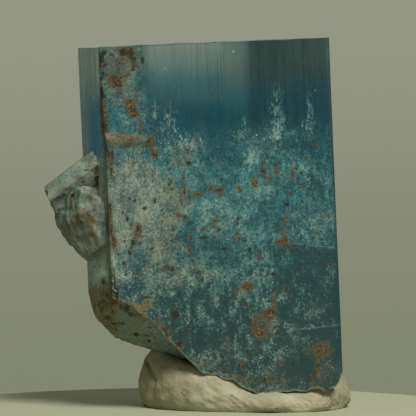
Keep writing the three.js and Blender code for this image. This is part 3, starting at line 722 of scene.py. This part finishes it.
# Brown of the stain on the blade's step, also darkened there as painted shade.
LEDGE_STAIN_AND_SHADE_BROWN = (0.11, 0.095, 0.04, 1)
# White of the painted highlights and the pale crack.
PAINTED_GLINT_AND_CRACK_WHITE = (0.9, 0.95, 0.92, 1)
DUSK = (0.012, 0.075, 0.095, 1)
MIST_LOW, MIST_HIGH = (0.004, 0.125, 0.18, 1), (0.06, 0.13, 0.13, 1)
# Colours of the painted inner reflection near the edge that turns away behind the clear end.
PAINTED_REFLECTION_LOW, PAINTED_REFLECTION_HIGH = (0.02, 0.11, 0.13, 1), (0.1, 0.16, 0.145, 1)
KEPT_LIGHT = (0.5, 0.8, 0.85, 1)
DOT_LAYERS = [(0.62, 0.25), (1.5, 0.2)]  # dots to the mm, and the size of the largest in mm


def needles(place, turn, scale):
    """Thin parallel streaks, seen from the front as lines at a turn from upright."""
    turned = place.node("Mapping", {}, {"Vector": place, "Rotation": (0, turn, 0)})
    return noise(turned, scale, 2, 0.5, (1, 1, 0.12))


def iron_dots(place, grit):
    """Round dots of iron in two layers, one a cell and each of its own size, and the lot that a cell of the
    finer layer drew."""
    dots = 0
    for spread, size in DOT_LAYERS:
        cells = {"Vector": place, "Scale": spread, "Randomness": 1.0}
        spacing = place.node("TexVoronoi", {}, cells, output="Distance")
        lot = place.node("SeparateColor", {}, {0: place.node("TexVoronoi", {}, cells, output="Color")})
        dots = dots + rise(size * lot**3 - spacing * (1 / spread) + 0.5 * (grit - 0.5), -0.01, 0.02)
    return dots, lot


def clear_part(place, cloud, patch, comb):
    """Beryl that light goes through, coloured in level zones and a little cloudy. It is duller on the right.
    Near the edge seen to turn away behind it, a denser veil and rougher glass are a painted inner
    reflection."""
    x, height = coordinate(place, "X"), coordinate(place, "Z")
    front = rise(coordinate(place, "Y") * -1, 6.9, 7.4)
    stops = [(z / PRISM_TOP, colour) for z, colour in CLEAR_ZONES]
    zones = ramp(height * (1 / PRISM_TOP) + (cloud - 0.5) * 0.02, stops)
    combed = rise(comb, 0.35, 0.75)
    dusk = rise(x + 5 * (comb - 0.5), 3.8, 7.0)
    # Painted reflection: a veil and rougher glass where the back edge turns away, for light reflected
    # inside.
    painted_reflection_zone = rise(x, 2.8, 4.8) * rise(x * -1, -7.4, -5.0) * front * rise(height, 28.5, 32.5)
    frosted = 0.2 * rise(height * -1 + 3 * patch, -29, -20)
    sockets = {
        "Base Color": mix(0.2 * combed + 0.38 * dusk, zones, DUSK),
        "Roughness": 0.08 + frosted + 0.06 * combed + 0.3 * painted_reflection_zone,
        "IOR": BERYL_IOR,
        "Transmission Weight": 1.0,
        "Normal": place.node("Bump", {}, {"Strength": 0.1, "Distance": 0.00002, "Height": comb}),
    }
    clear = place.node("BsdfPrincipled", {}, sockets)
    mist_and_painted_reflection = mix(rise(height, 30.5, 35), MIST_LOW, MIST_HIGH)
    mist_and_painted_reflection = mix(painted_reflection_zone, mist_and_painted_reflection, mix(rise(height, 31, 35), PAINTED_REFLECTION_LOW, PAINTED_REFLECTION_HIGH))
    haze_and_painted_reflection = place.node("BsdfPrincipled", {}, {"Base Color": mist_and_painted_reflection, "Roughness": 0.5, "IOR": BERYL_IOR})
    share = 0.14 + 0.2 * dusk + 0.4 * painted_reflection_zone + 0.5 * (comb - 0.5)
    return place.node("MixShader", {}, {0: share, 1: clear, 2: haze_and_painted_reflection})


def beryl():
    """Clear beryl with a weathered skin. The clear part sends light through, coloured in level zones; the
    skin is frosted, milky where etched, and stained by iron. What is left of the light is dimmed by the way
    it goes."""
    material, wire = new_material("beryl")
    place = upright_place(wire)
    x, height = coordinate(place, "X"), coordinate(place, "Z")
    cloud = noise(place, 0.3, 3, 0.5)
    patch = noise(place, 1.1, 4, 0.6, (1, 1, 0.6))
    fine = noise(place, 4.2, 4, 0.65)
    grit = noise(place, 9.5, 2, 0.6)
    comb = noise(place, 3.2, 4, 0.7, (1, 1, 0.03))
    veil = noise(place, 3.4, 4, 0.75, (1, 1, 0.35))
    hue = noise(place, 5.5, 3, 0.7)
    fibres = needles(place, 0.7, 3.4).sum("MAXIMUM", needles(place, 0.7, 3.4), needles(place, -0.8, 3.8))
    frost, milk, rust, dark = (noted(wire, name) for name in ("frost", "milk", "rust", "dark"))
    painted_glint_and_crack, stained, broken, tone_and_painted_light = (noted(wire, name) for name in ("painted_glint_and_crack", "stained", "broken", "tone_and_painted_light"))
    warm, on_side, sliver = (noted(wire, name) for name in ("warm", "on_side", "sliver"))
    lumpy, ledge_stain_and_painted_shade = (noted(wire, name) for name in ("lumpy", "ledge_stain_and_painted_shade"))

    dots, lot = iron_dots(place, grit)
    dots = rise(dots * rise(height * -1 + 8 * (cloud - 0.5), -29, -24), 0.15, 0.6)
    speckle = 1.6 * (fine - 0.5) + 1.1 * (grit - 0.5)
    even = 1 - 0.75 * on_side
    low = rise(height * -1, -17, -10)
    uneven = 1.1 * (cloud - 0.5) + (1.3 + 2.2 * low) * (patch - 0.5) + (1.0 + 0.8 * low) * speckle
    uneven = uneven + 1.5 * rise(x, 3, 8) * (veil - 0.5)
    # The darker tone noted on the skin also carries the painted light and shade noted where it is made.
    tone = 0.45 + uneven * even + 0.24 * milk - 0.4 * tone_and_painted_light
    # Painted light: the left face, turned away from the lamp, gets a lighter tone, combed by growth lines.
    tone = tone + (1.5 * (comb - 0.5) + 0.4) * on_side
    body = ramp(tone, SKIN_TONES)
    tint = mix(rise(height + 14 * (cloud - 0.5) + 9 * (patch - 0.5), 4, 27), LOW_TINT, HIGH_TINT)
    body = body.node("VectorMath", {"operation": "MULTIPLY"}, {0: body, 1: tint})
    lines = mix(rise(comb, 0.3, 0.7), COMB_DARK, COMB_PALE)
    body = mix(0.85 * on_side * rise(height, 9, 14), body, lines)
    mottle = rise(0.8 * fine + 0.9 * (patch - 0.5) + 0.7 * (grit - 0.5), 0.26, 0.56)
    warm_grey = mix(mottle, WARM_SHADE, WARM_LIGHT)
    body = mix(0.62 * rise(warm + 1.5 * (cloud - 0.5) + (fine - 0.5), 0.1, 0.9), body, warm_grey)
    white = rise((fibres - 0.5) * 1.7 + 2.2 * (grit - 0.5) + 0.2 * milk, 0.44, 0.66) * rise(milk, 0.04, 0.4)
    body = mix(0.65 * white * even * (1 - 0.5 * warm), body, CHALK)
    for level, slope in SEAMS:
        gap = height - level - (x - 10) * slope + 0.5 * (cloud - 0.5)
        seam = rise(gap.sum("ABSOLUTE", gap), 0.09, 0.03) * rise(x, 8.8, 9.8)
        body = mix(0.33 * seam, body, SEAM_COLOUR)
    body = mix(0.7 * rise(rust + 0.5 * (fine - 0.5), 0.02, 0.5), body, HALO)
    body = mix(0.85 * broken, body, mix(rise(fine, 0.4, 0.6), GREEN_GLASS, BROKEN_GREEN))
    crust = ramp(hue - 0.12 * ledge_stain_and_painted_shade, CRUST)
    body = mix(rise(stained * (0.7 + speckle), 0.12, 0.6), body, crust)
    iron = mix(0.65 * lumpy, ramp(hue, IRON), OLIVE)
    ragged = 2.4 * (fine - 0.5) + 1.4 * (grit - 0.5)
    rusty = rise(rust * 1.2 + ragged, 0.38, 0.62) * rise(rust, 0.03, 0.15)
    brown = rise(dark * 1.2 + ragged, 0.42, 0.66) * rise(dark, 0.05, 0.2)
    body = mix(dots, body, mix(rise(rise(hue, 0.4, 0.6) * lot, 0.3, 0.9), UMBER, iron))
    body = mix(rusty, body, iron)
    body = mix(brown, body, UMBER)
    # The blade step's stain, darker where it faces the lamp: part stain, part painted shade.
    body = mix(0.75 * ledge_stain_and_painted_shade, body, mix(rise(grit, 0.4, 0.6), UMBER, LEDGE_STAIN_AND_SHADE_BROWN))
    body = mix(sliver * (0.8 + 1.2 * (comb - 0.5)), body, mix(on_side, NAVY, CLEAR_BLUE))
    # Painted highlights and the pale crack, drawn in white.
    painted_sparkle_and_crack = rise(painted_glint_and_crack, 0.5, 1.0)
    body = mix(painted_sparkle_and_crack, body, PAINTED_GLINT_AND_CRACK_WHITE)
    relief = (patch + fine * 0.8 + grit * 0.4) * (1 + 2.5 * lumpy)
    lift = {"Strength": 0.5, "Distance": 0.00006, "Height": relief}
    gloss = 0.62 - 0.3 * rise(grit, 0.5, 0.7)
    normal = wire.node("Bump", {}, lift)
    weathered = wire.node(
        "BsdfPrincipled", {}, {"Base Color": body, "Roughness": gloss, "IOR": BERYL_IOR, "Normal": normal}
    )

    clear = clear_part(place, cloud, patch, comb)
    milky = rise(milk * 0.6 + 4.5 * (veil - 0.5) + 1.5 * (grit - 0.5), 0.2, 1.2) * rise(milk, 0.02, 0.5)
    cover = frost * (1.0 + 0.8 * speckle * even) + 0.62 * milky
    cover = cover + dots + rusty + brown + stained + painted_sparkle_and_crack + 0.35 * broken
    surface = wire.node("MixShader", {}, {0: rise(cover, -0.1, 1.0), 1: clear, 2: weathered})
    dimming = wire.node("VolumeAbsorption", {}, {"Color": KEPT_LIGHT, "Density": 12.0})
    wire.node("OutputMaterial", {}, {"Surface": surface, "Volume": dimming})
    return material


prism.data.materials.append(beryl())
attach(prism, "root")
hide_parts("crystal")

# ---- What is sealed in the crystal ----
# Growth tubes, hair-thin channels along the crystal that filled again as it grew, and two partings: small
# level cracks in its right part that healed into thin pale films.

TUBE_SIDES = 6
TUBE_COUNT = 110
TUBE_TIP = 0.2  # mm
PALE_FILLING = (0.5, 0.62, 0.6, 1)


def tubes():
    """Closed needles along the crystal: rings of six points at the feet and heads, each tapered to a point.
    The radius is 0.005 to 0.015 mm, the length 1.5 to 8 mm, and most end below the flat end."""
    draw = np.random.default_rng(71)
    foot_x = draw.triangular(-4.0, 11.0, 13.4, TUBE_COUNT)
    foot = np.stack([foot_x, draw.uniform(-7.6, -4.5, TUBE_COUNT)], -1)
    top = 36.3 - draw.exponential(1.6, TUBE_COUNT)
    length = draw.uniform(1.5, 8.0, TUBE_COUNT)
    radius = draw.uniform(0.005, 0.015, TUBE_COUNT)
    turn = 2 * math.pi * np.arange(TUBE_SIDES) / TUBE_SIDES
    circle = np.stack([np.cos(turn), np.sin(turn)], -1)
    xy = foot[:, None] + radius[:, None, None] * circle
    low = np.dstack([xy, np.broadcast_to((top - length)[:, None], xy.shape[:2])])
    high = np.dstack([xy, np.broadcast_to(top[:, None], xy.shape[:2])])
    ends = (top - length - TUBE_TIP, top + TUBE_TIP)
    tips = np.stack([np.column_stack([foot, end]) for end in ends], 1)
    points = np.concatenate([low, high, tips], 1)
    here = np.arange(TUBE_SIDES)
    right = (here + 1) % TUBE_SIDES
    walls = np.stack([here, right, right + TUBE_SIDES, here + TUBE_SIDES], -1)
    under = np.stack([right, here, np.full(TUBE_SIDES, 2 * TUBE_SIDES)], -1)
    over = np.stack([here + TUBE_SIDES, right + TUBE_SIDES, np.full(TUBE_SIDES, 2 * TUBE_SIDES + 1)], -1)
    each = points.shape[1] * np.arange(TUBE_COUNT)[:, None, None]
    faces = []
    for part in (walls, under, over):
        faces += (part + each).reshape(-1, part.shape[1]).tolist()
    return mesh_piece("growth_tubes", to_frame(points.reshape(-1, 3)), faces)


def film(name, middle, half_width, half_depth, tilt, seed):
    """A healed crack: a thin lens with a ragged outline. Rings at a share t of the outline rise by
    +-0.03 sqrt(1 - t^2) mm from a plane that climbs by the tilt along x and has slow waves."""
    around = np.linspace(0, 2 * math.pi, 90, endpoint=False)
    share = np.concatenate([np.linspace(0.06, 1, 24), np.linspace(1, 0.06, 24)[1:]])
    half = np.concatenate([-np.ones(24), np.ones(23)])
    heading = np.stack([np.cos(around), np.sin(around)], -1)
    ragged = 1 + 0.1 * ripple(heading, 0.9, seed)
    xy = share[:, None, None] * (heading * ragged[:, None] * np.array([half_width, half_depth]))
    wave = tilt * xy[..., 0] + 0.08 * ripple(xy, 2.4, seed + 1)
    z = wave + (0.03 * half * np.sqrt(np.clip(1 - share**2, 0, 1)))[:, None]
    rings = np.dstack([xy, z]) + middle
    low, high = rings[0].mean(0), rings[-1].mean(0)
    return skin(name, to_frame(rings), *to_frame([low, high]))


def healed(name, colour):
    """The pale, half-clear filling of healed tubes and cracks."""
    material, wire = new_material(name)
    place = upright_place(wire)
    cloud = noise(place, 1.4, 4, 0.65)
    surface = wire.node(
        "BsdfPrincipled",
        {},
        {
            "Base Color": mix(rise(cloud, 0.35, 0.65), colour, PALE_FILLING),
            "Roughness": 0.35 + 0.3 * cloud,
            "IOR": 1.33,
            "Transmission Weight": 0.3,
        },
    )
    wire.node("OutputMaterial", {}, {"Surface": surface})
    return material


filling = healed("healed_filling", (0.42, 0.54, 0.53, 1))
sealed = [
    tubes(),
    film("upper_parting", np.array([10.9, -6.0, 16.45]), 1.7, 1.1, -0.05, 81),
    film("lower_parting", np.array([10.8, -6.0, 7.9]), 1.7, 1.1, 0.06, 84),
]
for piece in sealed:
    piece.data.materials.append(filling)
    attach(piece, "root")

# ---- The putty ----
# Display putty, an off-white rubbery clay that never sets. A ball of it was rolled long between the fingers,
# and the crystal's foot was pressed in, so it bulges round the crystal and keeps the marks of finger ridges.

PUTTY_MIDDLE = np.array([4.7, -1.3])
PUTTY_LENGTH, PUTTY_DEPTH = 10.65, 8.0  # half of each
PUTTY_TURN = math.radians(-10)
PUTTY_COLUMNS = 620
GROUND_ROWS, WALL_ROWS, TOP_ROWS = 8, 44, 52
WALL_FOOT = 0.62  # how far the side goes down from its broadest ring, for each 1 that it goes up
OUTLINE_POWER = 2.5
RIDGE_PITCH = 0.46
CLEARANCE = 0.03  # mm, between the crystal and the putty
SHARP_PUTTY = math.radians(50)


def putty_top(xy):
    """Height of the lump's top: low along the middle, climbing as a tanh to the left and a little to the
    right, with a heap under the crystal's left underside, a bulge at the right end and two packed places
    behind the front edge, all bell-shaped."""
    x, y = xy[..., 0], xy[..., 1]
    climb = 1.3 * (1 - np.tanh((x - 2.9) / 2.3)) + 0.15 * (1 + np.tanh((x - 9.0) / 2.0))
    heap = 1.6 * np.exp(-(((x + 3.6) / 3.0) ** 2) - ((y + 1.5) / 4.5) ** 2)
    packed = bell(x, 4.2, 1.8) + 0.6 * bell(x, 11.8, 1.3)
    return 1.8 + climb + heap + 0.9 * bell(x, 14.5, 1.0) + packed * ease(y, -8.1, -7.3)


def putty_rings():
    """Rings up the lump from its flat underside, over its bulging side and in over its top. The outline is
    a superellipse; the side is part of an ellipse that leaves the ground 0.3 mm inside it."""
    around = np.linspace(0, 2 * math.pi, PUTTY_COLUMNS, endpoint=False)
    powers = np.abs(np.cos(around)) ** OUTLINE_POWER + np.abs(np.sin(around)) ** OUTLINE_POWER
    reach = powers ** (-1 / OUTLINE_POWER)
    heading = np.stack([reach * np.cos(around), reach * np.sin(around)], -1)
    wall = np.linspace(-WALL_FOOT, 1, WALL_ROWS)
    inset = np.concatenate([
        np.linspace(1, 0.16, GROUND_ROWS, endpoint=False),
        0.2 * (1 - np.sqrt(np.clip(1 - wall**2, 0, 1))),
        np.linspace(0.2, 1, TOP_ROWS + 2)[1:-1],
    ])
    share = np.concatenate([np.zeros(GROUND_ROWS), (wall + WALL_FOOT) / (1 + WALL_FOOT), np.ones(TOP_ROWS)])
    half = np.stack([PUTTY_LENGTH - inset * PUTTY_DEPTH, (1 - inset) * PUTTY_DEPTH], -1)
    flat = half[:, None] * heading
    cos, sin = math.cos(PUTTY_TURN), math.sin(PUTTY_TURN)
    turn = np.array([[cos, sin], [-sin, cos]])
    xy = flat @ turn + PUTTY_MIDDLE
    return np.dstack([xy, share[:, None] * putty_top(xy)]), heading @ turn, share


putty_shape, putty_outward, putty_share = putty_rings()
putty_low, putty_high = (np.array(corner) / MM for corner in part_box("putty"))
footprint = putty_shape[..., :2].reshape(-1, 2)
PUTTY_PLACE = np.append((putty_low + putty_high)[:2] / 2 - (footprint.max(0) + footprint.min(0)) / 2, 0)


def putty_relief(points):
    """How far the side and top stand out: slow dents, wrinkles that slant, and finger ridges in two
    fields."""
    x, y, z = np.moveaxis(points, -1, 0)
    dents = 0.16 * ripple(points, 5.0, 51) + 0.05 * ripple(points, 1.6, 52)
    grain = 0.012 * ripple(points, 0.5, 53)
    slanting = np.stack([x + 1.4 * z, (z - 0.4 * x) * 0.25], -1)
    wrinkle = 0.05 * np.tanh(1.5 * ripple(slanting, 1.1, 54)) * bell(x, 3.4, 2.6)
    sway = 0.35 * ripple(points[..., [0, 2]], 3.0, 55)
    upright_ridges = 0.5 + 0.5 * np.cos(2 * math.pi * (x + 0.12 * z + sway) / RIDGE_PITCH)
    field = bell(x, 12.2, 2.6) + np.exp(-(((x - 1.0) / 1.2) ** 2) - ((z - 3.2) / 1.2) ** 2)
    pressed = 0.085 * upright_ridges * field
    crease = -0.45 * bell(x + 4.75 + 0.12 * (z - 2.5) ** 2, 0, 0.22) * ease(z, 0.8, 1.8)
    return dents + grain + wrinkle + pressed + crease * ease(-y, 1.0, 3.0)


sideways = np.clip(1.6 * (1 - putty_share), 0, 1)[:, None, None]
level_part = np.broadcast_to(putty_outward, putty_shape[..., :2].shape) * sideways
upward_part = np.broadcast_to(1 - sideways, putty_shape[..., :1].shape)
outwards = np.concatenate([level_part, upward_part], -1)
outwards /= np.linalg.norm(outwards, axis=-1, keepdims=True)
above_ground = ease(putty_shape[..., 2], 0.0, 0.5)
putty_points = putty_shape + outwards * (putty_relief(putty_shape) * above_ground)[..., None]
putty_poles = [[*PUTTY_MIDDLE, 0], [*PUTTY_MIDDLE, putty_top(PUTTY_MIDDLE)]]
putty = skin(
    "pressed_putty", (putty_points + PUTTY_PLACE) * MM, *((np.array(putty_poles) + PUTTY_PLACE) * MM)
)

socket = prism.copy()
socket.data = prism.data.copy()
bpy.context.scene.collection.objects.link(socket)
normals = np.empty(3 * len(socket.data.vertices))
socket.data.vertex_normals.foreach_get("vector", normals)
swollen = points_of(socket) + normals.reshape(-1, 3) * CLEARANCE * MM
socket.data.vertices.foreach_set("co", swollen.ravel())
boolean(putty, "DIFFERENCE", socket)
putty.data.set_sharp_from_angle(angle=SHARP_PUTTY)

RED_SPECKS = [(-1.85, 1.9, 0.09, 0.12, 1.2), (-0.6, 3.7, 0.14, 0.05, 1.1), (12.7, 0.4, 0.08, 0.08, 1)]
DARK_SPECKS = [(3.25, 1.7, 0.09, 0.1, 1.3), (7.7, 0.5, 0.1, 0.09, 1.3), (-2.5, 1.5, 0.08, 0.08, 0.8)]
putty_millimetres = points_of(putty) / MM - PUTTY_PLACE
note(putty, "red_speck", blots(putty_millimetres, RED_SPECKS))
note(putty, "dark_speck", blots(putty_millimetres, DARK_SPECKS))


CLAY_SHADE, CLAY_CREAM, CLAY_PALE = (0.33, 0.315, 0.205, 1), (0.44, 0.425, 0.295, 1), (0.5, 0.485, 0.35, 1)
# Darker clay for the painted shade at the putty's two ends.
PAINTED_SHADE_CLAY = (0.2, 0.19, 0.115, 1)
RED_LINT, DARK_LINT = (0.16, 0.03, 0.015, 1), (0.03, 0.02, 0.04, 1)


def clay():
    """Matt off-white clay, a little yellow, with faint greyer clouds, lint specks and painted shadow at the
    ends.
    """
    material, wire = new_material("display_clay")
    place = wire.node(
        "VectorMath", {"operation": "SCALE"}, {0: wire.node("TexCoord", output="Object"), "Scale": 1 / MM}
    )
    cloud = noise(place, 0.5, 5, 0.6)
    grain = noise(place, 5, 3, 0.6)
    colour = mix(rise(cloud, 0.35, 0.7), CLAY_SHADE, CLAY_CREAM)
    colour = mix(0.35 * rise(grain, 0.45, 0.75), colour, CLAY_PALE)
    x = coordinate(place, "X")
    # Painted shade: both ends darker, where the crystal's overhang and its right corner shade them.
    painted_shade_ends = rise(x * -1 + 2 * (cloud - 0.5), -1.5, 5) + rise(x + 2 * (cloud - 0.5), 12, 15)
    colour = mix(0.5 * painted_shade_ends, colour, PAINTED_SHADE_CLAY)
    colour = mix(rise(noted(wire, "red_speck"), 0.4, 0.8), colour, RED_LINT)
    colour = mix(rise(noted(wire, "dark_speck"), 0.4, 0.8), colour, DARK_LINT)
    lift = {"Strength": 0.35, "Distance": 0.00005, "Height": grain + noise(place, 1.6, 4, 0.6)}
    surface = wire.node(
        "BsdfPrincipled",
        {},
        {
            "Base Color": colour,
            "Roughness": 0.75 + 0.15 * grain,
            "Specular IOR Level": 0.3,
            "Normal": wire.node("Bump", {}, lift),
        },
    )
    wire.node("OutputMaterial", {}, {"Surface": surface})
    return material


putty.data.materials.append(clay())
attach(putty, "root")
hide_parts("putty")

# ---- The stage ----
# A pale floor that ends a little behind the specimen, a soft grey-green room and one large soft lamp.

FLOOR_RADIUS = 0.032
FLOOR_MIDDLE = -0.012  # forward of the frame's origin
FLOOR_SIDES = 128
FLOOR_COLOUR = (0.42, 0.44, 0.31, 1)
ROOM_COLOUR = (0.19, 0.2, 0.145, 1)
LOW_WALL, HIGH_WALL = (0.222, 0.24, 0.162, 1), (0.305, 0.315, 0.238, 1)
around = np.linspace(0, 2 * math.pi, FLOOR_SIDES, endpoint=False)
disc = FLOOR_RADIUS * np.stack([np.cos(around), np.sin(around), 0 * around], -1) + [0, FLOOR_MIDDLE, 0]
floor = mesh_piece("floor", disc, [list(range(FLOOR_SIDES))])
pale, wire = new_material("pale_floor")
surface = wire.node("BsdfPrincipled", {}, {"Base Color": FLOOR_COLOUR, "Roughness": 0.6})
wire.node("OutputMaterial", {}, {"Surface": surface})
floor.data.materials.append(pale)

world = bpy.data.worlds.new("studio")
bpy.context.scene.world = world
world.use_nodes = True
world.node_tree.nodes.clear()
wire = Wire(world.node_tree)
heading = wire.node("TexCoord", output="Generated")
wall = mix(rise(coordinate(heading, "Z"), -0.09, 0.02), LOW_WALL, HIGH_WALL)
room = mix(rise(coordinate(heading, "Y"), 0.72, 0.95), ROOM_COLOUR, wall)
room_light = wire.node("Background", {}, {"Color": room, "Strength": 1.0})
wire.node("OutputWorld", {}, {"Surface": room_light})
bpy.context.scene.view_settings.view_transform = "Standard"


def lamp(name, place, aim, size, power, colour):
    """A round soft lamp at a place, turned to its aim."""
    light = bpy.data.lights.new(name, "AREA")
    light.shape = "DISK"
    light.size = size
    light.energy = power
    light.color = colour
    holder = bpy.data.objects.new(name, light)
    bpy.context.scene.collection.objects.link(holder)
    holder.location = place
    holder.rotation_euler = (Vector(aim) - Vector(place)).to_track_quat("-Z", "Y").to_euler()


lamp("key", (0.15, -0.27, 0.42), (0, 0, 0.018), 0.2, 2.62, (1, 0.98, 0.92))

VIEW_WIDTH = 0.0416
VIEW_DISTANCE = 0.4
VIEW_PITCH = math.radians(2.6)
AIM = tuple((CRYSTAL_PLACE + (0.85, -8.25, 20.4)) * MM)
camera_data = bpy.data.cameras.new("camera")
camera_data.sensor_width = 36
camera_data.lens = camera_data.sensor_width * VIEW_DISTANCE / VIEW_WIDTH
camera_data.clip_start = 0.01
camera = bpy.data.objects.new("camera", camera_data)
bpy.context.scene.collection.objects.link(camera)
back_off = (0, -VIEW_DISTANCE * math.cos(VIEW_PITCH), VIEW_DISTANCE * math.sin(VIEW_PITCH))
camera.location = Vector(AIM) + Vector(back_off)
camera.rotation_euler = (math.pi / 2 - VIEW_PITCH, 0, 0)
bpy.context.scene.camera = camera
